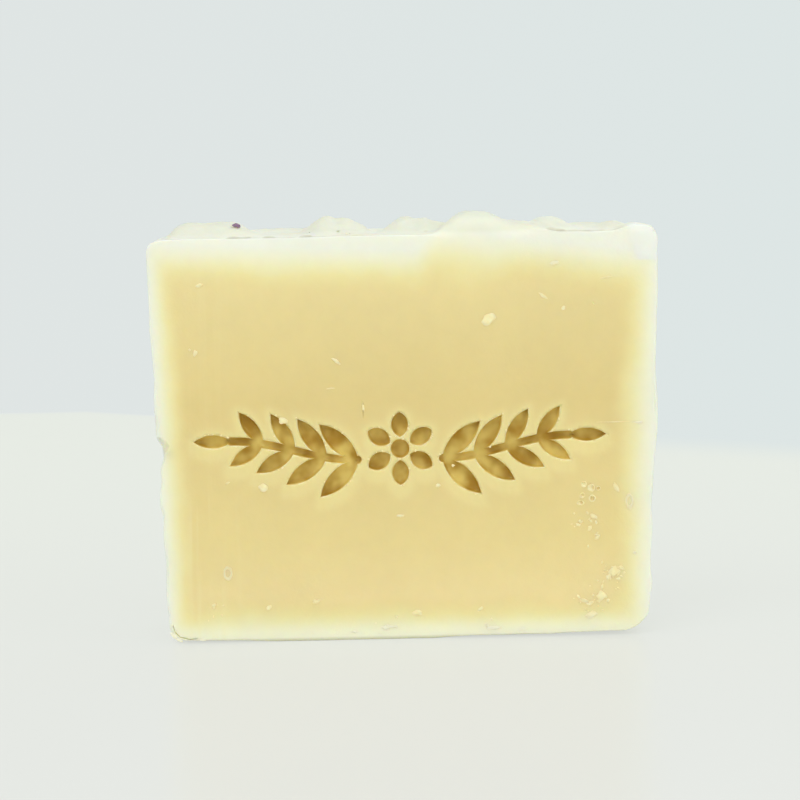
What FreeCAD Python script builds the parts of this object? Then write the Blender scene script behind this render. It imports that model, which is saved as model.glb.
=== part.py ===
# A bar of handmade soap, cut from a poured loaf, and the flower crumb that is stuck in its top.
#
# The loaf was poured in a long mould with sloping walls, so the bar's section narrows towards its base. Its
# front and back are the flat faces left by the cutting wire, and they run the bar's full height. Its top is
# the open surface of the pour, worked into soft swells with a spoon, and its base is the floor of the mould.
# A stamp has pressed a leafy sprig into the front. The bar stands on its base.
#
# X runs along the bar, Y from its front to its back and Z up. The origin is the middle of the base.
# All lengths are in millimetres and all angles in degrees.
import FreeCAD, Part

import math
import os
from FreeCAD import Placement, Rotation, Vector

# The loaf's section and the cut
top_width = 82.0  # at the bar's straight top edge
base_width = 77.0  # at the mould's floor, before its corners are rounded
edge_height = 65.5  # the straight top edge above the base
thickness = 25.0  # from one cut face to the other
left_corner_radius = 2.6  # base corners, where the mould's floor meets its walls
right_corner_radius = 4.6
worn_edge_radius = 0.5  # where a cut face meets the mould's skin
shoulder_width = 2.4  # the strip beside each wall where the top rolls down
shoulder_drop = 1.8  # how far it rolls

# Swells of the top. A swell's middle is placed along the bar from -1 at the left wall to 1 at the right
# one, and across it from -1 at the front to 1 at the back. Then come its half length in X, its half length
# in Y and its height.
swells = [
    ("left plateau's rise", -0.84, 0.16, 6.5, 10.0, 2.1),
    ("left plateau", -0.73, 0.16, 6.5, 10.0, 2.1),
    ("left plateau's end", -0.655, 0.08, 4.8, 9.0, 2.0),
    ("round swell's left half", -0.31, 0.16, 4.7, 10.0, 2.4),
    ("round swell's right half", -0.2, 0.2, 5.0, 10.0, 2.35),
    ("small swell's left half", 0.01, 0.12, 4.6, 10.0, 2.25),
    ("small swell's right half", 0.1, 0.0, 4.6, 10.0, 2.15),
    ("main peak's left half", 0.225, -0.68, 6.2, 14.0, 3.25),
    ("main peak", 0.31, -0.68, 7.5, 15.0, 3.35),
    ("main peak's shoulder", 0.44, -0.56, 8.5, 13.0, 1.8),
    ("ledge behind the shoulder", 0.57, -0.08, 5.0, 9.0, 2.0),
    ("right rear swell", 0.75, 0.5, 6.5, 8.0, 0.6),
    ("foot of the corner peak", 0.84, 0.0, 3.8, 8.0, 1.0),
    ("right corner peak", 0.915, -0.7, 4.0, 9.0, 1.15),
    ("middle rear swell", 0.34, 0.76, 11.0, 8.0, 1.6),
    ("left rear swell", -0.46, 0.84, 9.0, 7.5, 0.5),
    ("left trough", -0.49, -0.69, 13.0, 4.2, -0.4),
    ("right trough", 0.72, -0.6, 7.0, 4.4, -0.4),
]
swell_blend = 4  # how sharply one swell gives way to the next
swell_sample = 0.8  # spacing of the points that the top surface passes through

# The stamped sprig: a blossom between two branches
stamp_depth = 1.4
stamp_offset = -1.0  # of the blossom's middle from the bar's middle, in X
stamp_height = 31.0  # of the blossom's middle above the base
eye_radius = 1.4  # the blossom's eye
petal_count = 6
petal_length = 3.8
petal_width = 2.5
petal_gap = 0.6  # between the eye and each petal
branch_start = 6.9  # from the blossom's middle to the branch's near end
branch_reach = 20.4  # the branch's length along X, up to its last leaf
branch_rise = 1.7  # how far the branch swings above and below the blossom's middle
stem_width = 1.1
leaf_pairs = 4
first_leaf_length = 8.6
last_leaf_length = 5.8
leaf_slimness = 3.0  # a leaf's length over its width
leaf_angle = 44.0  # between a leaf and the stem

# A nick that broke out of the front's left edge
nick_height = 31.6
nick_radius = 2.0
nick_overhang = 0.4  # the nick's middle lies this far outside the edge

# The flower crumb in the top
crumb_from_wall = 14.0  # from the left wall's top edge to the crumb's middle
crumb_from_front = 10.1
crumb_length = 1.3
crumb_width = 0.75
crumb_thickness = 0.5
crumb_turn = -30.0  # about Z

flat_enough = 0.01  # an edge that spans less than this in Y lies in a cut face


def half_width(height):
    """Half the mould's width at a height above its floor."""
    slope = (top_width - base_width) / (2 * edge_height)
    return base_width / 2 + slope * height


def top_height(x, y):
    """The poured surface's height at a place on the bar."""
    raised = 0.0
    sunk = 0.0
    for name, along, across, half_x, half_y, rise in swells:
        from_middle_x = x - along * half_width(edge_height)
        from_middle_y = y - across * thickness / 2
        reach = (from_middle_x / half_x) ** 2 + (from_middle_y / half_y) ** 2
        swell = rise * (1 - min(reach, 1)) ** 2
        raised += max(swell, 0) ** swell_blend
        sunk += min(swell, 0)
    from_wall = half_width(edge_height) - abs(x)
    roll = max(0.0, 1 - from_wall / shoulder_width)
    return edge_height + raised ** (1 / swell_blend) + sunk - shoulder_drop * roll**2


def poured_surface():
    """The top as one smooth face, a little larger than the bar all round."""
    spare = 2 * swell_sample
    half_x = top_width / 2 + spare
    half_y = thickness / 2 + spare
    columns = math.ceil(2 * half_x / swell_sample)
    rows = math.ceil(2 * half_y / (2 * swell_sample))
    grid = []
    for i in range(columns + 1):
        x = -half_x + 2 * half_x * i / columns
        grid.append([])
        for j in range(rows + 1):
            y = -half_y + 2 * half_y * j / rows
            grid[i].append(Vector(x, y, top_height(x, y)))
    surface = Part.BSplineSurface()
    surface.interpolate(grid)
    return surface.toShape()


def loaf_section(top):
    """The loaf's outline at the front face, from its base up to a level above every swell."""
    slope = math.atan2(top_width - base_width, 2 * edge_height)
    corner_angle = math.pi / 2 + slope  # inside the loaf, between its floor and a wall
    edges = []
    ends = {}
    for side, radius in ((-1, left_corner_radius), (1, right_corner_radius)):
        leg = radius * math.tan((math.pi - corner_angle) / 2)
        centre = Vector(side * (base_width / 2 - leg), -thickness / 2, radius)
        foot = Vector(centre.x, centre.y, 0)
        shin = centre + Vector(side * radius * math.cos(slope), 0, -radius * math.sin(slope))
        bend = -math.pi / 4 - slope / 2
        middle = centre + Vector(side * radius * math.cos(bend), 0, radius * math.sin(bend))
        edges.append(Part.Arc(foot, middle, shin).toShape())
        rim = Vector(side * half_width(top), centre.y, top)
        edges.append(Part.LineSegment(shin, rim).toShape())
        ends[side] = (foot, rim)
    edges.append(Part.LineSegment(ends[-1][0], ends[1][0]).toShape())
    edges.append(Part.LineSegment(ends[-1][1], ends[1][1]).toShape())
    return Part.Face(Part.Wire(Part.__sortEdges__(edges)))


def cut_block():
    """The slice of loaf with its edges worn, still taller than its top."""
    ceiling = edge_height + 2 * max(rise for *place, rise in swells)
    block = loaf_section(ceiling).extrude(Vector(0, thickness, 0))
    cut_edges = []
    for edge in block.Edges:
        box = edge.BoundBox
        on_cut_face = box.YLength < flat_enough
        if on_cut_face and box.ZMin < ceiling - flat_enough:
            cut_edges.append(edge)
    return block.makeFillet(worn_edge_radius, cut_edges), ceiling


def soap_block():
    """The slice of loaf with its poured top."""
    block, ceiling = cut_block()
    above = poured_surface().extrude(Vector(0, 0, ceiling))
    return block.cut(above)


def leaf(length, width):
    """A flat leaf that lies along X with its foot at the origin, in the XZ plane."""
    foot = Vector(0, 0, 0)
    tip = Vector(length, 0, 0)
    upper = Part.Arc(foot, Vector(length / 2, 0, width / 2), tip).toShape()
    lower = Part.Arc(tip, Vector(length / 2, 0, -width / 2), foot).toShape()
    return Part.Face(Part.Wire([upper, lower]))


def disc(radius, x, z):
    """A flat disc in the XZ plane."""
    circle = Part.Circle(Vector(x, 0, z), Vector(0, 1, 0), radius)
    return Part.Face(Part.Wire(circle.toShape()))


def placed(shape, x, z, turn):
    """A copy of a flat shape, turned in the XZ plane from X towards Z and moved."""
    copy = shape.copy()
    copy.Placement = Placement(Vector(x, 0, z), Rotation(Vector(0, -1, 0), turn))
    return copy


def blossom():
    """The eye and the ring of petals round it."""
    shapes = [disc(eye_radius, 0, 0)]
    petal = leaf(petal_length, petal_width)
    for i in range(petal_count):
        turn = 90 + 360 * i / petal_count
        start = eye_radius + petal_gap
        x = start * math.cos(math.radians(turn))
        z = start * math.sin(math.radians(turn))
        shapes.append(placed(petal, x, z, turn))
    return shapes


def branch_point(share):
    """A point on the right branch and the branch's direction there, from its near end to its last leaf."""
    x = branch_start + branch_reach * share
    z = -branch_rise * math.cos(math.pi * share)
    turn = math.degrees(math.atan2(math.pi * branch_rise * math.sin(math.pi * share), branch_reach))
    return x, z, turn


def stem():
    """The branch's stem, a strip that follows the branch and has round ends."""
    steps = 2 * leaf_pairs
    points = [branch_point(i / steps) for i in range(steps + 1)]
    sides = []
    for side in (-1, 1):
        offset = side * stem_width / 2
        line = []
        for x, z, turn in points:
            across = math.radians(turn + 90)
            line.append(Vector(x + offset * math.cos(across), 0, z + offset * math.sin(across)))
        edge = Part.BSplineCurve()
        edge.interpolate(line)
        sides.append((edge.toShape(), line))
    (lower, lower_line), (upper, upper_line) = sides
    near = Part.LineSegment(upper_line[0], lower_line[0]).toShape()
    far = Part.LineSegment(lower_line[-1], upper_line[-1]).toShape()
    strip = Part.Face(Part.Wire(Part.__sortEdges__([lower, far, upper, near])))
    first_x, first_z, turn = points[0]
    last_x, last_z, turn = points[-1]
    return [strip, disc(stem_width / 2, first_x, first_z), disc(stem_width / 2, last_x, last_z)]


def branch():
    """The right branch: its stem, pairs of leaves that get smaller outwards, and a last leaf."""
    shapes = stem()
    for i in range(leaf_pairs):
        share = (i + 0.5) / leaf_pairs
        length = first_leaf_length + (last_leaf_length - first_leaf_length) * share
        x, z, turn = branch_point(i / leaf_pairs)
        for side in (-1, 1):
            blade = leaf(length, length / leaf_slimness)
            shapes.append(placed(blade, x, z, turn + side * leaf_angle))
    x, z, turn = branch_point(1)
    blade = leaf(last_leaf_length, last_leaf_length / leaf_slimness)
    shapes.append(placed(blade, x, z, turn))
    return shapes


def sprig_outline():
    """The whole sprig, flat in the XZ plane round the blossom's middle."""
    right = branch()
    left = []
    for shape in right:
        left.append(shape.mirror(Vector(0, 0, 0), Vector(1, 0, 0)))
    return blossom() + right + left


def stamp_cutter():
    """What the stamp pressed out of the front: the sprig, as deep as the stamp went."""
    front = -thickness / 2
    prisms = []
    for shape in sprig_outline():
        shape.translate(Vector(stamp_offset, front - stamp_depth, stamp_height))
        prisms.append(shape.extrude(Vector(0, 2 * stamp_depth, 0)))
    return prisms[0].multiFuse(prisms[1:]).removeSplitter()


def nick():
    """The round hollow of the nick."""
    edge = -half_width(nick_height) - nick_overhang
    return Part.makeSphere(nick_radius, Vector(edge, -thickness / 2 - nick_overhang, nick_height))


def flower_crumb():
    """A flake of dried flower that lies on the slope of the top, sunk in to half its thickness."""
    flake = leaf(crumb_length, crumb_width)
    flake.translate(Vector(-crumb_length / 2, -crumb_thickness / 2, 0))
    flake = flake.extrude(Vector(0, crumb_thickness, 0))
    x = crumb_from_wall - half_width(edge_height)
    y = crumb_from_front - thickness / 2
    step = crumb_width / 2
    rise = top_height(x, y + step) - top_height(x, y - step)
    lean = math.degrees(math.atan2(rise, 2 * step))
    flat = Rotation(Vector(1, 0, 0), 90 + lean)
    turned = Rotation(Vector(0, 0, 1), crumb_turn)
    seat = Vector(x, y, top_height(x, y))
    flake.Placement = Placement(seat, flat.multiply(turned))
    return flake


def main():
    crumb = flower_crumb()
    bar = soap_block()
    bar = bar.cut(stamp_cutter())
    bar = bar.cut(nick())
    bar = bar.cut(crumb)
    parts = {"soap_bar": bar, "flower_crumb": crumb}
    os.makedirs("parts", exist_ok=True)
    for name, shape in parts.items():
        solids = Part.makeCompound(shape.Solids)
        solids.exportStep(f"parts/{name}.step")
        box = solids.optimalBoundingBox(False)
        print(f"{name}: {len(shape.Solids)} solid, valid {solids.isValid()}, {shape.Volume:.3f} cubic mm")
        print(f"    X {box.XMin:.2f} to {box.XMax:.2f}, Y {box.YMin:.2f} to {box.YMax:.2f}")
        print(f"    Z {box.ZMin:.2f} to {box.ZMax:.2f}")


main()
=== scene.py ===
import math

import bmesh
import bpy
import numpy as np
from mathutils import Matrix, Vector, noise
from mathutils.bvhtree import BVHTree
from mathutils.kdtree import KDTree


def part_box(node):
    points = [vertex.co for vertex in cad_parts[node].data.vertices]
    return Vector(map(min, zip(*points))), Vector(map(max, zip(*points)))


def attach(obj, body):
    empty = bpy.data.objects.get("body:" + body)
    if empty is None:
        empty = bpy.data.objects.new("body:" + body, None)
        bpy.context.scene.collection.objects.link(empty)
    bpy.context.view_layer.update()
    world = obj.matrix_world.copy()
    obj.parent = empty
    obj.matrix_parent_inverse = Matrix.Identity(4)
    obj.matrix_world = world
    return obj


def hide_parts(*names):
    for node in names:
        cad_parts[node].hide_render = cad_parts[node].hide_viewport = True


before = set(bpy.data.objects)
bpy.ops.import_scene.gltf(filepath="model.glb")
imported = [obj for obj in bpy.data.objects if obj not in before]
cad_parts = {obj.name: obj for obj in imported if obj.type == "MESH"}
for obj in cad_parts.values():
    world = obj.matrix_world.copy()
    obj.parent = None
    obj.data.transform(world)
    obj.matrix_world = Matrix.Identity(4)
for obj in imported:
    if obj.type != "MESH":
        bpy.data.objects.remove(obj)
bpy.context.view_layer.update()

MM = 0.001  # a millimetre in the frame's unit

bar_low, bar_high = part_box("soap_bar")

# The loaf
half_top = 41.3  # half the width at the straight top edge, out to the rim's widest waves
half_base = 38.8
edge_height = 65.5
wall_slope = (half_top - half_base) / edge_height
thickness = (bar_high.y - bar_low.y) / MM
front = bar_low.y / MM
corner_radii = {(-1, -1): 2.8, (1, -1): 4.8, (-1, 1): 2.2, (1, 1): 2.4}  # by side and by base or top

# How finely the block is divided before it is shaped. Each edge is divided twice, because one division is
# at most a hundredfold.
columns = 16 * 11
rows = 14 * 10
slices = 9 * 6
coarse_parts = (16, 9, 14)
rim_steps = 8  # the outermost divisions, which get narrower towards the rims

# Shapes of the skin: (height, how far it stands out, half its height)
left_bulges = [(36.0, 0.35, 8.0), (23.5, 0.45, 3.2), (17.0, 0.2, 3.0), (8.0, 0.25, 4.0), (52.0, 0.15, 9.0)]
right_bulges = [(35.0, 0.6, 9.5), (8.5, 0.35, 3.0), (17.0, 0.2, 3.5), (56.0, 0.1, 7.0)]
base_lifts = [(-18.0, -36.0, 0.42), (3.0, 10.0, 0.3), (20.0, 33.0, 0.3)]  # from X, to X, height
left_notch = (31.0, -0.9, 2.8)  # beside the nick
swell_foot = 57.5  # from this height up, the bar takes part more and more in the top's swells

# The crust that was smeared over the front's right top corner
patch_foot = 60.5  # the height of its lower edge
patch_fade = 0.5  # how softly it begins there
patch_corner = (36.2, 66.5)  # X and height of the upper end of its left edge
patch_slant = 0.28  # how far that edge runs outwards for each millimetre down
patch_proud = 0.22

# The stamp
stamp_depth = 1.4
stamp_foot = -0.36  # how far the edge of its floor is drawn in, so that the walls curve into it
stamp_draft = 0.1  # how far its walls lean outwards
stamp_flare = 0.26  # how far its rims are worn outwards at the surface
stamp_reach = 36.0  # the stamp lies nearer than this to the bar's middle
miter_limit = 0.45  # keeps its sharpest corners from spreading too far
# How its walls spread from its floor to the surface, and on through it: (depth, spread)
stamp_walls = [
    (1.3, -0.14), (1.1, 0.0), (0.36, stamp_draft), (0.14, 0.16), (0.0, stamp_flare), (-1.0, stamp_flare),
]

# A nick that broke out of the left edge, as in the solid bar
nick_height = 31.6
nick_radius = 2.0
nick_overhang = 0.4

# The crevice behind the front's top edge
crevice_fade = 0.6  # how softly each stretch begins and ends
crevice_width = 0.38
# Its stretches: (from X, to X, how deep, and how dark its painted shade)
crevices = [
    (-28.2, -24.2, 1.0), (-24.2, -22.4, 0.4), (-22.4, -20.2, 0.9), (-20.2, -16.6, 0.45),
    (-16.6, -14.3, 1.0), (-14.3, -6.0, 0.3), (23.6, 26.6, 0.9), (26.6, 33.0, 0.7), (33.0, 35.4, 0.3),
]
# Pits in the swells' faces, by the place on the front's plane over which they are seen:
# (X, height, the pit's own width, its own height, turn in degrees)
pits = [(-14.9, 66.2, 0.35, 1.5, 5), (-10.2, 66.3, 0.55, 0.27, 20), (-8.6, 65.85, 0.8, 0.4, 30)]
# A cleft that follows the left corner of the base: (X, height, length, width, turn in degrees)
clefts = [
    (-38.25, 2.3, 1.5, 0.2, -76), (-37.65, 1.35, 1.5, 0.24, -46), (-36.5, 0.8, 1.9, 0.26, -16),
    (-35.1, 0.66, 1.4, 0.2, 8),
]
# How far the swells are drawn along X from their place on the solid: (middle, half length, shift)
swell_shifts = [(-25.5, 3.5, -1.2), (-13.8, 2.5, 0.6), (-6.4, 3.0, -1.1), (6.2, 4.5, 1.2), (11.0, 4.5, 0.6)]
# Crust that fills the dips between swells, or is missing where the height is negative:
# (X, Y, half length, half width, height)
top_fillers = [
    (-39.6, 6.0, 2.6, 20.0, -0.9), (-13.6, 2.5, 1.5, 8.0, 0.3), (-10.6, 2.5, 2.4, 8.0, 0.6),
    (-8.2, 2.5, 1.8, 8.0, -0.4), (-4.6, 2.0, 1.6, 9.0, -0.4),
    (2.4, 2.0, 2.6, 9.0, 0.15), (5.6, 2.0, 1.7, 9.0, -0.5), (26.8, 0.0, 3.0, 6.0, 0.6),
]

# Flakes and crumbs stuck to the front: (X, height, length, width, turn in degrees)
front_crumbs = [
    (-32.7, 58.1, 0.9, 0.6, 20), (-33.7, 47.2, 0.9, 0.55, 75), (-34.6, 47.7, 0.4, 0.35, 0),
    (-11.0, 45.4, 1.35, 0.5, -38), (13.6, 51.7, 2.0, 1.6, 25), (24.4, 60.5, 1.3, 0.7, 5),
    (25.7, 53.2, 0.8, 0.6, 30), (22.6, 55.2, 1.5, 0.45, -35), (32.6, 58.0, 1.5, 0.3, 8),
    (-19.8, 35.9, 1.1, 1.0, 0), (-23.2, 25.2, 1.3, 1.2, 10), (5.0, 24.9, 0.7, 0.6, 0),
    (33.8, 24.0, 1.5, 0.6, -62), (-31.7, 6.1, 0.8, 0.5, 30), (-22.8, 5.5, 0.9, 0.6, 50),
    (-15.1, 6.4, 1.1, 0.6, 20), (1.3, 4.2, 1.5, 0.8, 0), (11.5, 4.6, 1.0, 0.5, 35),
    (33.2, 10.3, 1.6, 1.3, 25), (34.4, 10.9, 0.9, 0.6, -30), (32.3, 9.4, 0.8, 0.7, 60),
    (33.9, 9.1, 0.7, 0.5, 10), (31.1, 6.4, 1.4, 1.3, 0), (32.2, 5.6, 0.6, 0.5, 45),
    (28.3, 5.7, 1.3, 0.5, -20), (29.4, 5.2, 1.0, 0.5, 40), (27.4, 6.3, 0.7, 0.4, -60),
    (29.5, 3.3, 1.7, 0.9, 8), (31.3, 7.9, 0.6, 0.4, 80), (-3.7, 1.9, 1.8, 0.7, 4),
    (13.7, 1.5, 2.3, 0.6, 2), (18.3, 1.2, 0.9, 0.4, 0), (-9.0, 1.3, 0.8, 0.4, -5),
    (27.6, 18.0, 0.7, 0.5, 0), (30.1, 19.3, 1.1, 0.6, -30), (29.4, 17.4, 0.9, 0.6, 70),
    (30.6, 15.9, 0.9, 0.5, 50), (7.5, 28.1, 0.5, 0.4, 0), (-6.8, 37.8, 0.35, 1.1, 5),
    (-29.0, 26.0, 0.6, 0.3, 15), (-1.1, 20.1, 1.2, 0.35, 0), (36.6, 13.3, 0.5, 0.4, 0),
    (-38.3, 1.25, 1.2, 0.5, -48), (-37.4, 0.55, 1.1, 0.45, -28), (-33.6, 0.5, 0.8, 0.4, 5),
]
# Where tinier flakes lie scattered: (X, height, reach, how many)
scatters = [
    (29.4, 18.5, 1.6, 14), (33.0, 10.2, 1.3, 16), (30.0, 5.6, 1.6, 18), (-31.8, 6.0, 1.2, 7),
    (-3.5, 2.4, 0.8, 4), (12.5, 2.2, 0.8, 4),
]
rim_flakes = 90  # scattered along the stamp's rims
back_flakes = 26
# Rings that burst bubbles left: (X, height, half width, half height, how proud)
bubble_rings = [
    (28.6, 24.6, 0.42, 0.42, 0.3), (29.8, 24.0, 0.5, 0.55, 0.3), (29.9, 22.3, 0.46, 0.5, 0.3),
    (28.3, 22.8, 0.36, 0.4, 0.3), (30.9, 23.9, 0.3, 0.33, 0.3), (28.0, 21.6, 0.5, 0.35, 0.3),
    (35.9, 21.7, 0.5, 1.0, 0.12), (-29.3, 11.3, 0.6, 0.95, 0.09),
]
hollow_ring = 0.2  # a ring that stands out further than this has a hollow inside
# Thin ridges that the wire drew: (X, height, length, width, turn in degrees)
drawn_ridges = [(33.7, 34.65, 4.4, 0.16, 0), (37.6, 34.5, 1.4, 0.4, 4), (-12.0, 41.0, 1.4, 0.18, 4)]
# Scratches: (X, height, length, width, turn in degrees)
scratches = [(-6.85, 37.5, 2.6, 0.12, 92), (30.6, 53.9, 0.7, 0.14, -55), (40.3, 38.2, 5.0, 0.3, 90)]

# The camera
camera_distance = 600.0  # from the front face
camera_height = 93.7
photo_width = 800  # in pixels, as are the next two
photo_middle = (400.0, 400.0)
bar_foot = (410.3, 641.0)  # where the middle of the front's base is seen
photo_scale = 6.2  # pixels to a millimetre at the front face
roll = 1.2  # degrees

# The stage, in metres
table_size = (9, 1.8, 1)
table_drop = 0.00005  # keeps the table out of the base's own plane
table_bend = -0.086  # X, to the right of which the table's far edge runs aslant
table_slant = 0.8
table_end = 0.328
table_share = 0.75  # how much of the table the camera sees as an even colour
lamp_size = 0.6
lamp_aim = (0, 0, 0.03)

random = np.random.default_rng(7)


def deselect():
    """Leaves nothing selected or in edit mode."""
    if bpy.context.object and bpy.context.object.mode != "OBJECT":
        bpy.ops.object.mode_set(mode="OBJECT")
    bpy.ops.object.select_all(action="DESELECT")


def pick(piece):
    """Makes a piece the only selected object and the active one."""
    deselect()
    piece.select_set(True)
    bpy.context.view_layer.objects.active = piece


def settle(piece):
    """Puts a piece's place into its mesh, so that its object sits at the origin."""
    pick(piece)
    bpy.ops.object.transform_apply(location=True, rotation=True, scale=True)


def points(piece):
    """A piece's vertices in millimetres, one to a row."""
    flat = np.empty(len(piece.data.vertices) * 3)
    piece.data.vertices.foreach_get("co", flat)
    return flat.reshape(-1, 3) / MM


def set_points(piece, places):
    """Moves a piece's vertices to places given in millimetres."""
    piece.data.vertices.foreach_set("co", (places * MM).ravel())
    piece.data.update()


def apply_modifier(piece, kind, **settings):
    """Adds one modifier to a piece and applies it."""
    pick(piece)
    bpy.ops.object.modifier_add(type=kind)
    modifier = piece.modifiers[-1]
    for name, value in settings.items():
        setattr(modifier, name, value)
    bpy.ops.object.modifier_apply(modifier=modifier.name)


def cut_with(piece, cutter):
    """Cuts one piece with another and deletes the cutter."""
    apply_modifier(piece, "BOOLEAN", operation="DIFFERENCE", object=cutter, solver="MANIFOLD")
    bpy.data.objects.remove(cutter, do_unlink=True)


def ramp(value, low, high):
    """A smooth step from 0 at one value to 1 at another."""
    share = np.clip((value - low) / (high - low), 0, 1)
    return share * share * (3 - 2 * share)


def clouds(places, size, seed=0.0):
    """Smooth noise from -1 to 1 at every place, whose lumps are about the given size."""
    shift = Vector((seed * 17.3, seed * 5.9, seed * 11.1))
    return np.array([noise.noise(Vector(place) / size + shift) for place in places])


def divide(piece, axis, cuts):
    """Divides every edge that runs along one axis."""
    pick(piece)
    bpy.ops.object.mode_set(mode="EDIT")
    bpy.ops.mesh.select_mode(type="EDGE")
    bpy.ops.mesh.select_all(action="DESELECT")
    mesh = bmesh.from_edit_mesh(piece.data)
    for edge in mesh.edges:
        along = edge.verts[0].co - edge.verts[1].co
        edge.select = abs(along[axis]) > 0.99 * along.length
    bmesh.update_edit_mesh(piece.data)
    bpy.ops.mesh.subdivide(number_cuts=cuts)
    bpy.ops.object.mode_set(mode="OBJECT")


def eased(values, low, high, parts):
    """Moves evenly spaced grid lines, so that the outermost ones lie closer together."""
    step = (high - low) / (parts - rim_steps)
    index = np.round((values - low) / (high - low) * parts)
    from_end = np.minimum(index, parts - index)
    near = step * from_end**2 / (2 * rim_steps)
    far = step * (from_end - rim_steps / 2)
    reach = np.where(from_end < rim_steps, near, far)
    return np.where(index < parts / 2, low + reach, high - reach)


def bulge(heights, middle, proud, half):
    """How far the skin stands out at some heights because of one bulge."""
    return proud * np.clip(1 - ((heights - middle) / half) ** 2, 0, None) ** 2


def raw_block():
    """A box of the loaf's size, divided on every side."""
    deselect()
    bpy.ops.mesh.primitive_cube_add(
        size=1,
        location=(0, 0, edge_height / 2 * MM),
        scale=(2 * half_top * MM, thickness * MM, edge_height * MM),
    )
    block = bpy.context.object
    block.name = "soap_slice"
    settle(block)
    for axis, parts in enumerate((columns, slices, rows)):
        divide(block, axis, coarse_parts[axis] - 1)
        divide(block, axis, parts // coarse_parts[axis] - 1)
    return block


def section(x, z):
    """Where places lie in the loaf's section.

    Gives their depth under the skin, the way to it, and what the nearest corner is like.
    """
    side = np.where(x < 0, -1, 1)
    level = np.where(z < edge_height / 2, -1, 1)
    radius = np.zeros_like(x)
    for (at_side, at_level), size in corner_radii.items():
        radius[(side == at_side) & (level == at_level)] = size
    out_x = np.abs(x) - (half_top - radius)
    out_z = np.where(level < 0, radius - z, z - (edge_height - radius))
    in_corner = (out_x > 0) & (out_z > 0)
    reach = np.hypot(np.maximum(out_x, 0), np.maximum(out_z, 0))
    depth = radius - reach - np.minimum(np.maximum(out_x, out_z), 0)
    way_x = np.where(in_corner, out_x / np.maximum(reach, 1e-9), out_x >= out_z)
    way_z = np.where(in_corner, out_z / np.maximum(reach, 1e-9), out_x < out_z)
    return depth, side * way_x, level * way_z, (out_x, out_z, radius, side, level, in_corner)


def round_corners(x, z):
    """Draws the section's square corners in to their arcs."""
    out_x, out_z, radius, side, level, in_corner = section(x, z)[3]
    shrink = np.maximum(out_x, out_z) / np.maximum(np.hypot(out_x, out_z), 1e-9)
    new_x = side * (half_top - radius + out_x * shrink)
    level_z = np.where(level < 0, radius - out_z * shrink, edge_height - radius + out_z * shrink)
    return np.where(in_corner, new_x, x), np.where(in_corner, level_z, z)


def top_heights(x, y):
    """The height of the poured top over every place, read off the solid bar."""
    solid = bpy.data.objects["soap_bar"]
    tree = BVHTree.FromObject(solid, bpy.context.evaluated_depsgraph_get())
    inset = 2.6  # keeps off the solid's rounded corners
    rim = 0.7  # keeps off the rims of its cut faces
    heights = np.empty(len(x))
    for i, (px, py) in enumerate(zip(x, y)):
        drawn = 0
        for middle, half, shift in swell_shifts:
            drawn += shift * max(0, 1 - ((px - middle) / half) ** 2) ** 2
        px = min(max(px - drawn, inset - half_top), half_top - inset)
        py = min(max(py, front + rim), front + thickness - rim)
        hit = tree.ray_cast(Vector((px * MM, py * MM, 0.2)), Vector((0, 0, -1)))[0]
        heights[i] = hit.z / MM
    return heights


def crevice_reach(x):
    """How deep the crevice behind the front's top edge is along X, and how dark its painted shade."""
    reach = np.zeros_like(x)
    for start, end, strength in crevices:
        begun = ramp(x, start - crevice_fade, start + crevice_fade)
        over = ramp(x, end - crevice_fade, end + crevice_fade)
        reach = np.maximum(reach, strength * begun * (1 - over))
    return reach


def patch_left(z):
    """X of the smeared patch's left edge at some height."""
    return patch_corner[0] + patch_slant * (patch_corner[1] - z)


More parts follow.
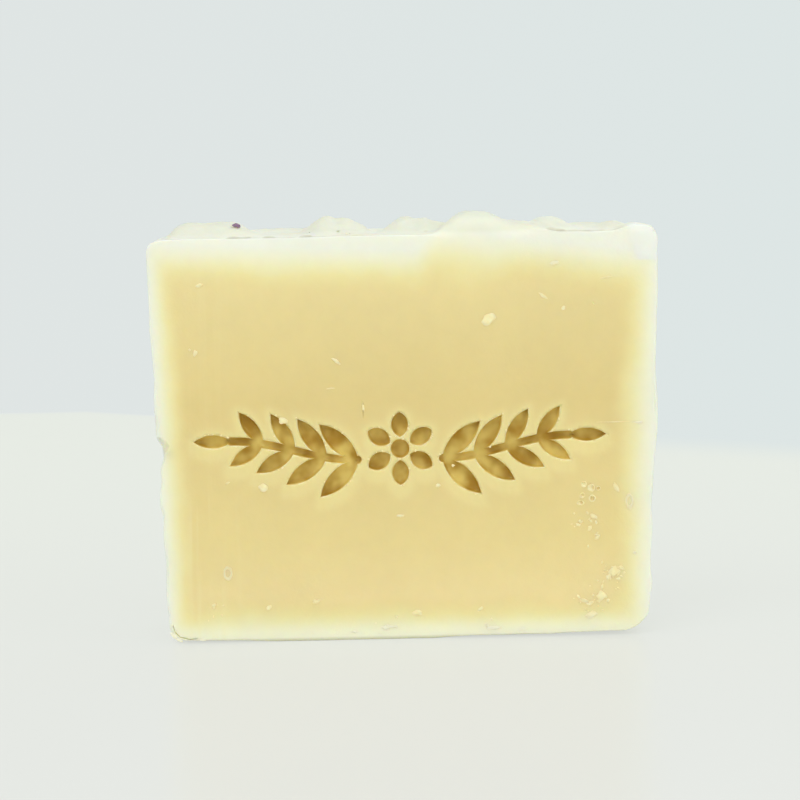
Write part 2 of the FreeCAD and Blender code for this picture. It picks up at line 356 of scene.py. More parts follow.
def shape_block(block):
    """Turns the plain block into the slice of soap, by moving its vertices."""
    place = points(block)
    x = eased(place[:, 0], -half_top, half_top, columns)
    y = eased(place[:, 1], front, front + thickness, slices)
    z = eased(place[:, 2], 0, edge_height, rows)
    x, z = round_corners(x, z)
    depth, way_x, way_z, corner = section(x, z)
    side_of_bar = corner[3]  # -1 on the left and 1 on the right
    from_cut = thickness / 2 - np.abs(y)
    on_front = y < 0

    # Worn and chipped rims, where the cut faces meet the skin
    spots = np.column_stack((x, 3 * on_front, z))
    wear = 0.42 + 0.3 * clouds(spots, 5.0, 1) + 0.22 * clouds(spots, 1.7, 2)
    wear += 0.9 * np.clip(clouds(spots, 3.1, 3) - 0.38, 0, None)
    wear = np.clip(wear, 0.12, 1.3)
    merged = ramp(x, 4.0, 8.0) * (1 - ramp(x, 17.0, 24.0))  # where the front runs into the main peak
    wear = np.where(way_z > 0.7, (0.3 - 0.3 * merged) * wear + 2.6 * merged, wear)
    wear = np.where(way_z < -0.7, 0.4 * wear, wear)
    across = 1 - np.clip(depth / wear, 0, 1)
    along = 1 - np.clip(from_cut / wear, 0, 1)
    touched = (depth < wear) & (from_cut < wear)
    shrink = np.maximum(across, along) / np.maximum(np.hypot(across, along), 1e-9)
    inward = np.where(touched, wear * (1 - across * shrink) - depth, 0)
    back = np.where(touched, wear * (1 - along * shrink) - from_cut, 0)
    x = x - way_x * inward
    z = z - way_z * inward
    y = y + np.where(on_front, back, -back)

    # The mould's sloping walls, and the waves that it left in the skin
    spots = np.column_stack((x, y, z))
    near_skin = np.clip(1 - depth / 3.0, 0, 1) ** 2
    drift = 0.22 * clouds(spots, 17.0, 4) + 0.11 * clouds(spots, 5.0, 5) + 0.05 * clouds(spots, 1.8, 6)
    heights = z.copy()
    for bulges, side in ((left_bulges, -1), (right_bulges, 1)):
        for middle, proud, half in bulges:
            wander = 1.5 * clouds(np.column_stack((y, y, y * 0 + middle)), 9.0, 7)
            drift += np.where(side_of_bar == side, bulge(heights + wander, middle, proud, half), 0)
    drift += np.where((side_of_bar < 0) & on_front, bulge(heights, *left_notch), 0)
    wall = np.abs(way_x) * near_skin
    x = x * (half_base + wall_slope * z) / half_top + way_x * wall * drift

    # The top's swells, and the crust on them
    lift = top_heights(x, y) - edge_height
    for middle, across, half_length, half_width, height in top_fillers:
        reach = ((x - middle) / half_length) ** 2 + ((y - across) / half_width) ** 2
        lift += height * np.clip(1 - reach, 0, None)
    crust = 0.2 * clouds(spots, 5.5, 8) + 0.12 * clouds(spots, 2.3, 9) + 0.06 * clouds(spots, 1.0, 10)
    open_top = ramp(from_cut, 0.3, 3.0)
    share = ramp(z, swell_foot, edge_height)
    z = z + share * (lift + crust * (0.25 + 0.75 * open_top))

    # A narrow crevice behind the straight parts of the front's top edge, and a raised crust behind it
    behind = y - front
    near_top = ramp(z, edge_height - 1.5, edge_height - 0.5)
    reach = crevice_reach(x) * near_top * (1 + 0.4 * clouds(spots, 2.6, 11))
    z = z - 0.8 * reach * np.exp(-(((behind - 0.95) / crevice_width) ** 2))
    z = z + 0.34 * reach * ramp(behind, 0.9, 1.5) * (1 - ramp(behind, 3.0, 7.0))

    # A patch of crust that was smeared over the front's right top corner
    patch_edge = 0.4 * clouds(spots, 2.5, 14)
    patch = ramp(x - patch_left(z) + patch_edge, -0.8, 0.8)
    patch = patch * ramp(z + patch_edge, patch_foot, patch_foot + patch_fade)
    y = y - patch_proud * patch * on_front * ramp(depth, 0.0, 1.2)

    # The base doesn't lie quite flat
    under = ramp(-way_z, 0.15, 0.9)
    unevenness = 0.05 * clouds(spots, 3.0, 13)
    for start, end, height in base_lifts:
        unevenness += height * ramp((x - start) / (end - start), 0, 1)
    z = z + under * np.clip(unevenness, 0, None) * near_skin
    z = np.maximum(z, 0)
    set_points(block, np.column_stack((x, y, z)))


def stamp_cutter():
    """The stamp's tool: the sprig's outline from the bar's own recess, with rims that flare out."""
    solid = bpy.data.objects["soap_bar"]
    mesh = solid.data.copy()
    tool = bpy.data.objects.new("stamp_tool", mesh)
    bpy.context.collection.objects.link(tool)
    pick(tool)
    bpy.ops.object.mode_set(mode="EDIT")
    bpy.ops.mesh.select_all(action="SELECT")
    bpy.ops.mesh.remove_doubles(threshold=1e-6)
    bpy.ops.mesh.select_mode(type="FACE")
    floor_level = (front + stamp_depth) * MM
    work = bmesh.from_edit_mesh(mesh)
    for face in work.faces:
        middle = face.calc_center_median()
        on_floor = abs(middle.y - floor_level) < 0.02 * MM and face.normal.y < -0.9
        face.select = not on_floor or abs(middle.x) > stamp_reach * MM
    bmesh.update_edit_mesh(mesh)
    bpy.ops.mesh.delete(type="FACE")
    bpy.ops.mesh.select_all(action="SELECT")
    bpy.ops.mesh.dissolve_limited(angle_limit=0.01)
    bpy.ops.mesh.quads_convert_to_tris()
    flares = {stamp_depth: stamp_foot}
    level = stamp_depth
    for depth, spread in stamp_walls:
        move = (0, (depth - level) * MM, 0)
        bpy.ops.mesh.select_all(action="DESELECT")
        work = bmesh.from_edit_mesh(mesh)
        for face in work.faces:
            face.select = abs(face.calc_center_median().y - (front + level) * MM) < 0.001 * MM
        bmesh.update_edit_mesh(mesh)
        bpy.ops.mesh.extrude_region_move(TRANSFORM_OT_translate={"value": move})
        level = depth
        flares[depth] = spread
    bpy.ops.mesh.select_all(action="SELECT")
    bpy.ops.mesh.normals_make_consistent(inside=False)
    work = bmesh.from_edit_mesh(mesh)
    moves = {}
    for vert in work.verts:
        depth = vert.co.y / MM - front
        spread = next((size for level, size in flares.items() if abs(level - depth) < 0.001), 0)
        walls = [face.normal for face in vert.link_faces if abs(face.normal.y) < 0.5]
        if spread and walls:
            out = sum(walls, Vector())
            out.y = 0
            out.normalize()
            miter = max(min(out.dot(wall) for wall in walls), miter_limit)
            moves[vert] = out * (spread * MM / miter)
    for vert, move in moves.items():
        vert.co += move
    bmesh.update_edit_mesh(mesh)
    deselect()
    return tool


def lump(name, size, place, turn=0.0, rounds=2, roughness=0.0, seed=0.0):
    """An uneven ball squeezed to a size (X, Y, Z), turned in the front's plane and put in its place."""
    deselect()
    bpy.ops.mesh.primitive_ico_sphere_add(subdivisions=rounds, radius=1.0)
    ball = bpy.context.object
    ball.name = name
    shape = points(ball) * MM
    if roughness:
        shape *= (1 + roughness * clouds(shape, 0.8, seed))[:, None]
    shape *= np.array(size) / 2
    angle = math.radians(turn)
    across, up = shape[:, 0].copy(), shape[:, 2].copy()
    shape[:, 0] = across * math.cos(angle) - up * math.sin(angle)
    shape[:, 2] = across * math.sin(angle) + up * math.cos(angle)
    set_points(ball, shape + np.array(place))
    return ball


def join(pieces, name):
    """Makes one piece of several."""
    deselect()
    for piece in pieces:
        piece.select_set(True)
    bpy.context.view_layer.objects.active = pieces[0]
    bpy.ops.object.join()
    pieces[0].name = name
    return pieces[0]


def struck(block, x, z):
    """Where the camera's line through a place on the front's plane meets the soap."""
    tree = BVHTree.FromObject(block, bpy.context.evaluated_depsgraph_get())
    eye = camera_place()
    aim = Vector((x, front, z)) * MM
    return np.array(tree.ray_cast(eye, (aim - eye).normalized())[0]) / MM


def store(piece, name, values):
    """Keeps one number for each vertex of a piece, which its material can read."""
    layer = piece.data.attributes.new(name, "FLOAT", "POINT")
    layer.data.foreach_set("value", values)


def near(places, spots, reach):
    """1 at the spots, and less further away from them."""
    tree = KDTree(len(spots))
    for index, spot in enumerate(spots):
        tree.insert(spot, index)
    tree.balance()
    distance = np.array([tree.find(place)[2] for place in places])
    return np.exp(-((distance / reach) ** 2))


def make_slice():
    """The bar of soap itself, which replaces the solid bar, and points along its stamp's rims."""
    block = raw_block()
    shape_block(block)
    stamp = stamp_cutter()
    places = points(stamp)
    rims = places[np.abs(places[:, 1] - front) < 0.01]
    cut_with(block, stamp)
    edge = -(half_base + wall_slope * nick_height) - nick_overhang
    place = (edge, front - nick_overhang, nick_height)
    size = (2 * nick_radius, 2 * nick_radius, 2.1 * nick_radius)
    cut_with(block, lump("nick", size, place, 12, 4, 0.28, 3.0))
    for index, (x, z, length, width, turn) in enumerate(scratches):
        cut_with(block, lump("scratch", (length, 0.3, width), (x, front, z), turn, 3, 0.25, index))
    for index, (x, z, length, width, turn) in enumerate(clefts):
        cut_with(block, lump("cleft", (length, 0.7, 0.8 * width), (x, front, z), turn, 3, 0.2, index))
    for index, (x, z, half_width, half_height, proud) in enumerate(bubble_rings):
        if proud > hollow_ring:
            size = (1.7 * half_width, proud, 1.7 * half_height)
            cut_with(block, lump("bubble", size, (x, front + 0.05, z), 0, 3, 0.1, index))
    hollows = [struck(block, pit[0], pit[1]) for pit in pits]
    for place, (x, z, width, height, turn) in zip(hollows, pits):
        cut_with(block, lump("pit", (width, 0.8, height), place, turn, 3, 0.25, x))

    # Painted shade in the crevice, in the pits and beside the nick
    places = points(block)
    behind = places[:, 1] - front
    crevice_shade = crevice_reach(places[:, 0]) * (places[:, 2] > edge_height - 2.5)
    wobble = clouds(places * (1, 0, 0), 1.6, 15)
    crevice_shade *= (1.2 + 0.6 * wobble) * np.exp(-(((behind - 1.15 - 0.15 * wobble) / crevice_width) ** 2))
    crevice_shade = np.clip(crevice_shade, 0, 1)
    shade = 0.35 * near(places, hollows, 0.45)
    shade += 0.35 * near(places, [(edge + 2.0, front + 0.6, nick_height - 0.6)], 0.9)
    store(block, "crevice_shade", np.maximum(crevice_shade, shade))

    # Painted glow about the stamp's rims and below them, kept for the material: how near the rims are
    glow = near(places, np.concatenate((rims, rims - (0, 0, 0.7), rims - (0, 0, 1.4))), 0.9)
    store(block, "painted_rim_glow", glow * (behind < 3))
    pick(block)
    bpy.ops.object.shade_smooth_by_angle(angle=math.radians(40))
    return block, rims


def make_crumbs(rims):
    """Flakes and crumbs of soap that the wire and the stamp left on the cut faces."""
    flakes = []
    for index, (x, z, length, width, turn) in enumerate(front_crumbs):
        size = (1.1 * length, 0.1 + 0.1 * width, 1.1 * width)
        flakes.append(lump("flake", size, (x, front, z), turn, 3, 0.55, index + 0.5))
    for index, (x, z, length, width, turn) in enumerate(drawn_ridges):
        flakes.append(lump("ridge", (length, 0.12, width), (x, front, z), turn, 3, 0.5, index + 0.5))
    for index, (middle_x, middle_z, reach, count) in enumerate(scatters):
        for number in range(count):
            x = random.normal(middle_x, reach)
            z = max(random.normal(middle_z, reach), 0.5)
            length = random.uniform(0.2, 0.65)
            size = (length, 0.14, length * random.uniform(0.35, 0.8))
            turn = random.uniform(0, 180)
            flakes.append(lump("flake", size, (x, front, z), turn, 2, 0.6, number + 30.5 * index))
    for index in range(rim_flakes):
        x, _, z = rims[random.integers(len(rims))]
        length = random.uniform(0.15, 0.45)
        size = (length, random.uniform(0.12, 0.22), length * random.uniform(0.5, 0.9))
        flakes.append(lump("flake", size, (x, front, z), random.uniform(0, 180), 2, 0.5, index))
    for index in range(back_flakes):
        x = random.uniform(-36, 36)
        z = random.uniform(2, 62)
        length = random.uniform(0.4, 1.4)
        size = (length, 0.25, length * random.uniform(0.4, 0.9))
        place = (x, front + thickness, z)
        flakes.append(lump("flake", size, place, random.uniform(0, 180), 2, 0.55, index + 60.5))
    for index, (x, z, half_width, half_height, proud) in enumerate(bubble_rings):
        deselect()
        bpy.ops.mesh.primitive_torus_add(
            major_segments=28,
            minor_segments=8,
            major_radius=1.0,
            minor_radius=0.2 if proud > hollow_ring else 0.3,
            rotation=(math.pi / 2, 0, 0),
        )
        ring = bpy.context.object
        settle(ring)
        shape = points(ring) * MM
        shape *= (1 + 0.18 * clouds(shape, 0.7, index))[:, None]
        set_points(ring, shape * (half_width, proud, half_height) + np.array((x, front, z)))
        flakes.append(ring)
    crumbs = join(flakes, "soap_crumbs")
    pick(crumbs)
    bpy.ops.object.shade_smooth_by_angle(angle=math.radians(50))
    return crumbs


def make_petal():
    """The flake of dried flower in the top: a curled leaf shape as long as the solid flake."""
    low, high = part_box("flower_crumb")
    middle = (low + high) / 2 / MM
    length, width, thick = 1.5, 0.95, 0.16
    lift = 0.12
    deselect()
    bpy.ops.mesh.primitive_grid_add(x_subdivisions=16, y_subdivisions=10, size=1)
    petal = bpy.context.object
    shape = points(petal) * MM
    along, across = shape[:, 0] * 2, shape[:, 1] * 2
    half = np.sqrt(np.clip(1.02 - along**2, 0.02, 1)) * width / 2
    x = along * length / 2
    y = across * half
    curl = 0.16 * across**2 - 0.12 * along**2
    crease = 0.05 * np.cos(6 * along + 2 * across) - 0.05 * np.exp(-((across / 0.25) ** 2))
    set_points(petal, np.column_stack((x, y, curl + crease)))
    apply_modifier(petal, "SOLIDIFY", thickness=thick * MM, offset=0.0)
    apply_modifier(petal, "SUBSURF", levels=1, render_levels=1)
    turn = Matrix.Rotation(math.radians(28), 4, "X") @ Matrix.Rotation(math.radians(-30), 4, "Z")
    petal.data.transform(turn)
    petal.data.transform(Matrix.Translation(Vector(middle) * MM + Vector((0, 0, lift * MM))))
    petal.name = "dried_petal"
    pick(petal)
    bpy.ops.object.shade_smooth_by_angle(angle=math.radians(50))
    return petal


def srgb(red, green, blue):
    """A colour given by its screen values from 0 to 255, as a shader takes it."""
    linear = []
    for value in (red, green, blue):
        share = value / 255
        linear.append(share / 12.92 if share <= 0.04045 else ((share + 0.055) / 1.055) ** 2.4)
    return (*linear, 1.0)


class Tree:
    """Short calls for placing shader nodes."""

    def __init__(self, tree):
        self.tree = tree

    def add(self, kind, inputs=(), **settings):
        """A node with its settings, and its sockets set to values or linked to other nodes' outputs."""
        node = self.tree.nodes.new(kind)
        for name, value in settings.items():
            setattr(node, name, value)
        for name, value in dict(inputs).items():
            if isinstance(value, bpy.types.NodeSocket):
                self.tree.links.new(value, node.inputs[name])
            else:
                node.inputs[name].default_value = value
        return node

    def math(self, operation, *values, clamp=False):
        """One sum of numbers or outputs."""
        node = self.add("ShaderNodeMath", enumerate(values), operation=operation, use_clamp=clamp)
        return node.outputs[0]

    def blend(self, share, first, second):
        """The first number where the share is 0, and the second where it is 1."""
        return self.math("MULTIPLY_ADD", share, self.math("SUBTRACT", second, first), first)

    def step(self, value, low, high, start=0.0, end=1.0):
        """A smooth step from one number to another."""
        inputs = {"Value": value, "From Min": low, "From Max": high, "To Min": start, "To Max": end}
        return self.add("ShaderNodeMapRange", inputs, interpolation_type="SMOOTHSTEP").outputs["Result"]

    def noise(self, vector, scale, detail=3.0, roughness=0.5):
        """Noise from 0 to 1, with its scale in lumps per metre."""
        inputs = {"Vector": vector, "Scale": scale, "Detail": detail, "Roughness": roughness}
        return self.add("ShaderNodeTexNoise", inputs).outputs["Fac"]

    def mix(self, factor, first, second):
        """A mix of two colours."""
        node = self.add("ShaderNodeMix", data_type="RGBA")
        for name, value in (("Factor_Float", factor), ("A_Color", first), ("B_Color", second)):
            socket = next(item for item in node.inputs if item.identifier == name)
            if isinstance(value, bpy.types.NodeSocket):
                self.tree.links.new(value, socket)
            else:
                socket.default_value = value
        return next(item for item in node.outputs if item.identifier == "Result_Color")

    def colours(self, value, stops):
        """A colour ramp with stops given as (place, colour)."""
        node = self.add("ShaderNodeValToRGB", {"Fac": value})
        ramp_stops = node.color_ramp.elements
        for stop, (place, colour) in zip(ramp_stops, (stops[0], stops[-1])):
            stop.position = place
            stop.color = colour
        for place, colour in stops[1:-1]:
            ramp_stops.new(place).color = colour
        return node.outputs["Color"]


def new_group(name, inputs, outputs):
    """An empty node group with named sockets, each given as (name, kind, value)."""
    group = bpy.data.node_groups.new(name, "ShaderNodeTree")
    for label, kind, value in inputs:
        socket = group.interface.new_socket(name=label, in_out="INPUT", socket_type=kind)
        socket.default_value = value
    for label, kind in outputs:
        group.interface.new_socket(name=label, in_out="OUTPUT", socket_type=kind)
    tree = Tree(group)
    return group, tree, tree.add("NodeGroupInput"), tree.add("NodeGroupOutput")


FLOAT = "NodeSocketFloat"
COLOUR = "NodeSocketColor"
VECTOR = "NodeSocketVector"


def depth_group():
    """How deep a place lies under the loaf's skin, in millimetres, from its Object coordinates."""
    group, tree, given, out = new_group(
        "Depth under skin",
        [("Vector", VECTOR, (0, 0, 0)), ("Waver", FLOAT, 1.0)],
        [("Depth", FLOAT), ("Pressed", FLOAT), ("Lip", FLOAT), ("Patch", FLOAT), ("Peak", FLOAT)],
    )
    mm = tree.add("ShaderNodeVectorMath", {0: given.outputs["Vector"], "Scale": 1 / MM}, operation="SCALE")
    axes = tree.add("ShaderNodeSeparateXYZ", {0: mm.outputs[0]}).outputs
    x, y, z = axes[0], axes[1], axes[2]

    # The distances from the sides and the base, shortened where the rind is thicker
    half = tree.math("MULTIPLY_ADD", z, wall_slope, half_base)
    side = tree.math("SUBTRACT", half, tree.math("ABSOLUTE", x))
    left_share = tree.step(z, 42.0, 54.0, 1.0, 0.93)
    right_share = tree.step(z, 40.0, 60.0, 0.72, 0.86)
    share = tree.blend(tree.step(x, -20.0, 20.0), left_share, right_share)
    wide = tree.math("MULTIPLY", side, share)
    base = tree.math("MULTIPLY", z, 0.72)

    # The distance from the pour's surface, whose rind is thickest under the main peak
    falling = tree.math("MULTIPLY_ADD", x, -0.038, 63.2)
    peak = tree.math("MULTIPLY_ADD", x, -0.12, 66.96)
    level = tree.blend(tree.step(x, 1.5, 6.5), falling, peak)
    under_peak = tree.math("MULTIPLY", tree.step(x, 1.0, 7.0), tree.step(x, 13.0, 22.0, 1.0, 0.0))
    top = tree.math("MULTIPLY", tree.math("SUBTRACT", level, z), tree.blend(under_peak, 0.66, 0.47))
    nearest = tree.math("SMOOTH_MIN", tree.math("SMOOTH_MIN", wide, base, 2.5), top, 2.5)
    waver = tree.math("SUBTRACT", tree.noise(given.outputs["Vector"], 110.0, 2.0), 0.5)
    waver = tree.math("MULTIPLY", tree.math("MULTIPLY", waver, 2.4), given.outputs["Waver"])
    depth = tree.math("MULTIPLY_ADD", waver, tree.step(nearest, 0.0, 4.0), nearest)

    # The pressed floor and the lip around it
    behind = tree.math("SUBTRACT", y, front)
    inner = tree.step(nearest, 1.5, 3.0)
    pressed = tree.math("MULTIPLY", tree.step(behind, 0.16, 0.6), tree.step(behind, 3.0, 4.0, 1.0, 0.0))
    lip = tree.math("MULTIPLY", tree.step(behind, 0.01, 0.05), tree.step(behind, 0.14, 0.3, 1.0, 0.0))

    # The patch of crust on the right top corner
    patch_start = tree.math("MULTIPLY_ADD", z, -patch_slant, patch_left(0.0))
    patch = tree.step(tree.math("SUBTRACT", x, patch_start), -0.9, 0.7)
    patch = tree.math("MULTIPLY", patch, tree.step(z, patch_foot, patch_foot + patch_fade))
    patch = tree.math("MULTIPLY", patch, tree.step(behind, 0.8, 3.5, 1.0, 0.0))
    for name, value in (
        ("Depth", depth),
        ("Pressed", tree.math("MULTIPLY", pressed, inner)),
        ("Lip", tree.math("MULTIPLY", lip, inner)),
        ("Patch", patch),
        ("Peak", tree.math("MULTIPLY", under_peak, tree.step(behind, 3.0, 8.0, 1.0, 0.0))),
    ):
        tree.tree.links.new(value, out.inputs[name])
    return group


def blotch_group():
    """Clouds in a colour, as unevenly cured soap has them."""
    group, tree, given, out = new_group(
        "Cloudy soap",
        [("Vector", VECTOR, (0, 0, 0)), ("Color", COLOUR, (1, 1, 1, 1)), ("Strength", FLOAT, 0.1)],
        [("Color", COLOUR)],
    )
    broad = tree.noise(given.outputs["Vector"], 60.0, 2.0)
    small = tree.noise(given.outputs["Vector"], 420.0, 3.0, 0.6)
    both = tree.math("MULTIPLY_ADD", small, 0.35, tree.math("MULTIPLY", broad, 0.65))
    swing = tree.math("MULTIPLY", tree.math("SUBTRACT", both, 0.5), given.outputs["Strength"])
    factor = tree.math("ADD", 1.0, swing)
    scaled = tree.add("ShaderNodeVectorMath", {0: given.outputs["Color"], "Scale": factor}, operation="SCALE")
    tree.tree.links.new(scaled.outputs[0], out.inputs["Color"])
    return group


def new_material(name):
    """An empty material, the calls for its nodes, and the Object coordinates that its patterns follow."""
    material = bpy.data.materials.new(name)
    material.use_nodes = True
    material.node_tree.nodes.clear()
    tree = Tree(material.node_tree)
    return material, tree, tree.add("ShaderNodeTexCoord").outputs["Object"]


def finish_material(tree, inputs):
    """Ends a material with one shader, whose inputs are given."""
    shader = tree.add("ShaderNodeBsdfPrincipled", inputs)
    end = tree.add("ShaderNodeOutputMaterial")
    tree.tree.links.new(shader.outputs[0], end.inputs["Surface"])


def soap_material(depth_tree):
    """Honey yellow soap with a pale rind, a white crust and a darker pressed sprig, with painted glow,
    highlight and shade.
    """
    material, tree, place = new_material("handmade_soap")
    axes = tree.add("ShaderNodeSeparateXYZ", {0: place}).outputs
    height = axes[2]
    depth = tree.add("ShaderNodeGroup", {"Vector": place}, node_tree=depth_tree)

    # From the pale rind to the yellow core
    rind_end = 10.0
    share = tree.math("DIVIDE", depth.outputs["Depth"], rind_end, clamp=True)
    rind = tree.colours(share, [
        (0.0, srgb(242, 242, 225)),
        (0.1, srgb(244, 241, 210)),
        (0.2, srgb(243, 236, 187)),
        (0.3, srgb(241, 228, 166)),
        (0.45, srgb(237, 219, 153)),
    ])
    core = tree.colours(tree.math("DIVIDE", height, edge_height * MM, clamp=True), [
        (0.08, srgb(242, 222, 163)),
        (0.25, srgb(237, 217, 151)),
        (0.59, srgb(230, 208, 141)),
        (0.83, srgb(235, 216, 153)),
        (0.93, srgb(241, 222, 162)),
    ])
    flesh = tree.mix(tree.step(depth.outputs["Depth"], 2.8, 5.5), rind, core)

    # Ash and small dots on the skin that touched the mould
    from_cut = tree.math("SUBTRACT", thickness / 2 * MM, tree.math("ABSOLUTE", axes[1]))
    skin = tree.step(depth.outputs["Depth"], 0.25, 0.9, 1.0, 0.0)
    skin = tree.math("MULTIPLY", skin, tree.step(from_cut, 0.3 * MM, 1.2 * MM))
    ash = tree.math("MULTIPLY", skin, tree.step(tree.noise(place, 150.0, 4.0, 0.6), 0.45, 0.7, 0.0, 0.7))
    flesh = tree.mix(ash, flesh, srgb(246, 238, 206))
    dots = tree.add("ShaderNodeTexVoronoi", {"Vector": place, "Scale": 260.0}).outputs["Distance"]
    sparse = tree.step(tree.noise(place, 90.0, 1.0), 0.48, 0.56)
    dots = tree.math("MULTIPLY", tree.step(dots, 0.06, 0.13, 1.0, 0.0), sparse)
    dots = tree.math("MULTIPLY", dots, skin)
    flesh = tree.mix(tree.math("MULTIPLY", dots, 0.5), flesh, srgb(214, 204, 160))

    # The pour's crust with painted shade on the main peak's crest, the smeared patch, and a paler foot
    crusty = tree.step(height, 65.3 * MM, 66.3 * MM)
    crust = tree.mix(tree.noise(place, 180.0), srgb(233, 231, 204), srgb(235, 237, 221))
    shaded = tree.math("MULTIPLY", tree.step(height, 67.4 * MM, 68.6 * MM), depth.outputs["Peak"])
    crust = tree.mix(shaded, crust, srgb(227, 230, 211))
    flesh = tree.mix(crusty, flesh, crust)
    flesh = tree.mix(depth.outputs["Patch"], flesh, srgb(240, 241, 230))
    flesh = tree.mix(tree.step(height, 0.5 * MM, 3.5 * MM, 0.6, 0.0), flesh, srgb(255, 248, 212))

    # Painted glow that stands in for light soaking through the stamp's rims and below them, and the wire's
    # streaks down the front's left edge
    glow = tree.add("ShaderNodeAttribute", attribute_name="painted_rim_glow").outputs["Fac"]
    flesh = tree.mix(tree.math("MULTIPLY", glow, 0.45), flesh, srgb(246, 232, 166))
    stretched = tree.add("ShaderNodeMapping", {"Vector": place, "Scale": (1.0, 1.0, 0.04)}).outputs[0]
    streaks = tree.step(tree.noise(stretched, 700.0, 2.0, 0.6), 0.4, 0.66)
    band = tree.step(axes[0], -0.037, -0.034)
    band = tree.math("MULTIPLY", band, tree.step(axes[0], -0.031, -0.026, 1.0, 0.0))
    low = tree.step(height, 0.018, 0.028, 0.3, 0.06)
    streaks = tree.math("MULTIPLY", tree.math("MULTIPLY", streaks, band), low)
    flesh = tree.mix(streaks, flesh, srgb(248, 238, 186))

    # The stamp's lip with a painted highlight, its floor in a darker colour with painted shade, then the
    # crevice's painted shade and the painted contact shadow where the base touches the table
    lip_highlight_patches = tree.step(tree.noise(place, 800.0, 2.0), 0.42, 0.6)
    flesh = tree.mix(tree.math("MULTIPLY", depth.outputs["Lip"], lip_highlight_patches), flesh, srgb(255, 247, 200))
    # The pressed sprig's darker gold: partly the pressed soap's own colour, partly painted shade in the
    # recess
    mottled = tree.step(tree.noise(place, 260.0, 2.0), 0.3, 0.7)
    recess_colour_and_shade = tree.mix(mottled, srgb(184, 142, 38), srgb(232, 206, 112))
    sunk = tree.mix(depth.outputs["Pressed"], flesh, recess_colour_and_shade)
    # Painted shade in the crevice, the pits and beside the nick
    painted_shade = tree.add("ShaderNodeAttribute", attribute_name="crevice_shade").outputs["Fac"]
    sunk = tree.mix(tree.math("MULTIPLY", painted_shade, 0.85), sunk, srgb(162, 158, 130))
    # Painted contact shadow: darker olive along the base's bottom edge
    sunk = tree.mix(tree.step(height, 0.1 * MM, 0.7 * MM, 0.6, 0.0), sunk, srgb(196, 190, 146))
    cloudy_inputs = {"Vector": place, "Color": sunk, "Strength": 0.16}
    cloudy = tree.add("ShaderNodeGroup", cloudy_inputs, node_tree=blotch_group())

    # Grain, soft waves, the dots' small hollows and the skin's scuffs
    grain = tree.noise(place, 2600.0, 4.0, 0.6)
    waves = tree.noise(place, 350.0, 3.0, 0.5)
    relief = tree.math("MULTIPLY_ADD", grain, 0.35, waves)
    relief = tree.math("SUBTRACT", relief, tree.math("MULTIPLY", dots, 0.8))
    scuffs = tree.math("MULTIPLY", tree.noise(place, 620.0, 4.0, 0.65), skin)
    relief = tree.math("MULTIPLY_ADD", scuffs, 1.1, relief)
    bump = tree.add("ShaderNodeBump", {"Strength": 0.25, "Distance": 0.0003, "Height": relief})
    rough = tree.step(waves, 0.3, 0.7, 0.42, 0.58)
    finish_material(tree, {
        "Base Color": cloudy.outputs["Color"],
        "Roughness": rough,
        "Normal": bump.outputs["Normal"],
        "IOR": 1.46,
        "Specular IOR Level": 0.4,
        "Subsurface Weight": 0.35,
        "Subsurface Radius": (1.0, 0.65, 0.25),
        "Subsurface Scale": 0.003,
    })
    return material


def crumb_material(depth_tree):
    """The paler soap of the flakes and crumbs, with a faint painted glow."""
    material, tree, place = new_material("soap_flakes")
    speckle = tree.noise(place, 900.0, 3.0, 0.6)
    depth = tree.add("ShaderNodeGroup", {"Vector": place}, node_tree=depth_tree).outputs["Depth"]
    colour = tree.mix(tree.step(speckle, 0.35, 0.65), srgb(255, 240, 183), srgb(255, 233, 168))
    colour = tree.mix(tree.step(depth, 0.8, 3.5), srgb(248, 244, 214), colour)
    grain = tree.noise(place, 4000.0, 3.0, 0.6)
    bump = tree.add("ShaderNodeBump", {"Strength": 0.4, "Distance": 0.0001, "Height": grain})
    finish_material(tree, {
        "Base Color": colour,
        "Roughness": tree.step(speckle, 0.3, 0.7, 0.45, 0.65),
        "Normal": bump.outputs["Normal"],
        "Specular IOR Level": 0.4,
        "Subsurface Weight": 0.3,
        "Subsurface Radius": (1.0, 0.75, 0.4),
        "Subsurface Scale": 0.001,
        # A faint warm emission: painted glow standing in for light through the thin flakes
        "Emission Color": srgb(255, 226, 150),
        "Emission Strength": 0.07,
    })
    return material


def petal_material():
    """Dried purple petal, darker along its veins and paler in patches."""
    material, tree, place = new_material("dried_petal")
    stretched = tree.add("ShaderNodeMapping", {"Vector": place, "Scale": (1.0, 5.0, 1.0)}).outputs[0]
    veins = tree.noise(stretched, 2500.0, 3.0, 0.6)
    patches = tree.noise(place, 1500.0, 2.0)
    colour = tree.mix(tree.step(veins, 0.35, 0.65), srgb(118, 84, 112), srgb(156, 126, 148))
    colour = tree.mix(tree.step(patches, 0.5, 0.75), colour, srgb(184, 164, 178))
    bump = tree.add("ShaderNodeBump", {"Strength": 0.5, "Distance": 0.00008, "Height": veins})
    finish_material(tree, {
        "Base Color": colour,
        "Roughness": tree.step(patches, 0.3, 0.7, 0.55, 0.8),
        "Normal": bump.outputs["Normal"],
    })
    return material


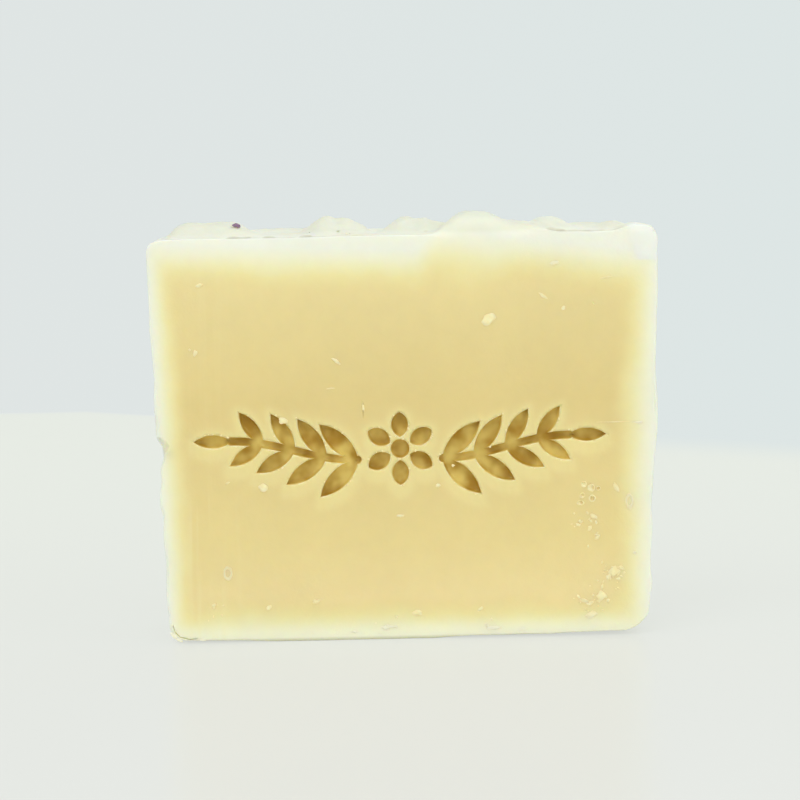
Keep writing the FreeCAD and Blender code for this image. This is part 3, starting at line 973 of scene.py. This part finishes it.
def stage_material(name, colour, roughness, share):
    """A plain material for the stage, of which the camera sees a share as an even colour.

    The even colour and its share are given back as sockets, so that they can change over the surface.
    """
    material = bpy.data.materials.new(name)
    material.use_nodes = True
    tree = Tree(material.node_tree)
    shader = material.node_tree.nodes["Principled BSDF"]
    shader.inputs["Base Color"].default_value = colour
    shader.inputs["Roughness"].default_value = roughness
    rays = tree.add("ShaderNodeLightPath")
    seen = tree.math("MAXIMUM", rays.outputs["Is Camera Ray"], rays.outputs["Is Glossy Ray"])
    seen = tree.math("MAXIMUM", seen, rays.outputs["Is Transmission Ray"])
    glow = tree.add("ShaderNodeEmission", {"Strength": 1.0})
    evened = tree.math("MULTIPLY", seen, share)
    both = tree.add("ShaderNodeMixShader", {0: evened})
    tree.tree.links.new(shader.outputs[0], both.inputs[1])
    tree.tree.links.new(glow.outputs[0], both.inputs[2])
    end = material.node_tree.nodes["Material Output"]
    tree.tree.links.new(both.outputs[0], end.inputs["Surface"])
    place = tree.add("ShaderNodeTexCoord").outputs["Object"]
    axes = tree.add("ShaderNodeSeparateXYZ", {0: place}).outputs
    return material, tree, axes, glow.inputs["Color"], evened.node.inputs[1]


def make_stage():
    """The pale table, painted paler about and behind the bar, and the pale wall behind it."""
    wall_left = srgb(224, 229, 228)
    wall_right = srgb(221, 230, 229)
    deselect()
    bpy.ops.mesh.primitive_plane_add(size=1, location=(0, -0.3, -table_drop))
    table = bpy.context.object
    bpy.ops.transform.resize(value=table_size)
    table.name = "table"
    settle(table)
    material, tree, axes, shown, share = stage_material("pale_table", srgb(233, 235, 229), 0.22, table_share)
    # Beyond its far edge, which is blurred more to the right, the table shows the wall's colour
    far = tree.math("MULTIPLY_ADD", tree.math("MAXIMUM", axes[0], table_bend), table_slant, axes[1])
    blur = tree.step(axes[0], -0.05, 0.05, 0.005, 0.03)
    far = tree.step(tree.math("DIVIDE", tree.math("SUBTRACT", far, table_end), blur), -1.0, 1.0)
    behind = tree.mix(tree.step(axes[0], -0.2, 0.2), wall_left, wall_right)
    # Paler from just before the bar backwards: painted light standing in for the glow that the bar throws on
    # the table
    painted_glow_share = tree.step(axes[1], -0.15, 0.3)
    tabletop = tree.mix(painted_glow_share, srgb(230, 232, 227), srgb(234, 238, 229))
    tree.tree.links.new(tree.mix(far, tabletop, behind), shown)
    tree.tree.links.new(tree.blend(far, table_share, 1.0), share)
    table.data.materials.append(material)
    deselect()
    bpy.ops.mesh.primitive_plane_add(size=4, location=(0, 0.9, 0.5), rotation=(math.pi / 2, 0, 0))
    wall = bpy.context.object
    wall.name = "wall"
    settle(wall)
    material, tree, axes, shown = stage_material("pale_wall", srgb(226, 231, 229), 0.9, 1.0)[:4]
    tree.tree.links.new(tree.mix(tree.step(axes[0], -0.3, 0.3), wall_left, wall_right), shown)
    wall.data.materials.append(material)


def lamp(name, place, watts, colour=(1, 1, 1)):
    """A square soft lamp that points at the bar."""
    deselect()
    bpy.ops.object.light_add(type="AREA", location=place)
    light = bpy.context.object
    light.name = name
    light.data.shape = "SQUARE"
    light.data.size = lamp_size
    light.data.energy = watts
    light.data.color = colour
    light.rotation_euler = (Vector(lamp_aim) - Vector(place)).to_track_quat("-Z", "Y").to_euler()


def make_lights():
    """A large lamp over the front, weaker ones beside and behind the bar, and an even pale sky."""
    lamp("key", (-0.25, -0.55, 0.75), 2.4)
    lamp("fill", (0.6, -0.5, 0.3), 0.9)
    lamp("rear", (0.3, 0.6, 0.5), 0.5, (1.0, 0.97, 0.92))
    world = bpy.data.worlds.new("pale_room")
    world.use_nodes = True
    sky = world.node_tree.nodes["Background"]
    sky.inputs["Color"].default_value = srgb(236, 240, 243)
    sky.inputs["Strength"].default_value = 0.92
    bpy.context.scene.world = world


def camera_aim():
    """The place on the front's plane that the picture's middle shows."""
    tilt = math.radians(roll)
    across = photo_middle[0] - bar_foot[0]
    up = bar_foot[1] - photo_middle[1]
    aim_x = (across * math.cos(tilt) + up * math.sin(tilt)) / photo_scale
    aim_z = (-across * math.sin(tilt) + up * math.cos(tilt)) / photo_scale
    return Vector((aim_x, front, aim_z)) * MM


def camera_place():
    """Where the camera stands, straight before the place that it aims at but higher."""
    return Vector((camera_aim().x, (front - camera_distance) * MM, camera_height * MM))


def make_camera():
    """A camera a little above the bar, tipped slightly to one side."""
    aim = camera_aim()
    place = camera_place()
    data = bpy.data.cameras.new("camera")
    camera = bpy.data.objects.new("camera", data)
    bpy.context.collection.objects.link(camera)
    look = (aim - place).to_track_quat("-Z", "Y").to_matrix().to_4x4()
    camera.matrix_world = Matrix.Translation(place) @ look @ Matrix.Rotation(math.radians(-roll), 4, "Z")
    reach = (aim - place).length / MM
    data.sensor_width = 36.0
    data.lens = data.sensor_width * reach * photo_scale / photo_width
    data.clip_start = 0.05
    data.clip_end = 20.0
    bpy.context.scene.camera = camera


def dress(piece, material):
    """Gives a piece its one material and its slot, and lets it ride on the bar's body."""
    piece.data.materials.clear()
    piece.data.materials.append(material)
    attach(piece, "root")


def main():
    """Sets the stage, then makes and dresses the bar, its crumbs and the petal."""
    make_camera()
    make_stage()
    make_lights()
    bar, rims = make_slice()
    bar.name = "soap_bar_shaped"
    depth_tree = depth_group()
    dress(bar, soap_material(depth_tree))
    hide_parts("soap_bar")
    dress(make_crumbs(rims), crumb_material(depth_tree))
    petal = make_petal()
    dress(petal, petal_material())
    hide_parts("flower_crumb")
    bpy.context.scene.view_settings.view_transform = "Standard"


main()
